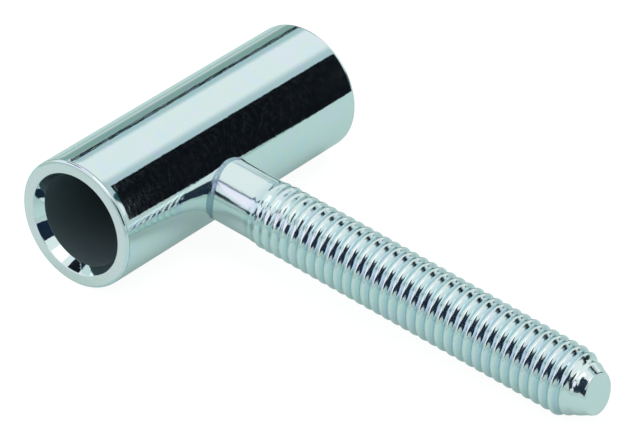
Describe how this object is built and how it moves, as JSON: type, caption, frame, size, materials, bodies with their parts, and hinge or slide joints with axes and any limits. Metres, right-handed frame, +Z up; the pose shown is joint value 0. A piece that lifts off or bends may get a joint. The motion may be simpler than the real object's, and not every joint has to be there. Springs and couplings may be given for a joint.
{
  "type": "screw-in hinge top half",
  "caption": "Blind steel hinge sleeve with a countersunk pin bore and a coarse threaded stud welded square to its side.",
  "frame": {"origin": "where the axis of the stud crosses the axis of the sleeve's pin bore", "axes": "-Y out of the open end of the pin bore, +X towards the stud's point, +Z up as the part lies at rest"},
  "size_m": [0.0652, 0.0387, 0.015],
  "materials": {
    "plated_sleeve": "turned steel, bright zinc plated",
    "plated_stud": "rolled thread, bright zinc plated"
  },
  "bodies": {
    "root": {"hinge_sleeve": "plated_sleeve", "threaded_stud": "plated_stud"}
  },
  "joints": []
}
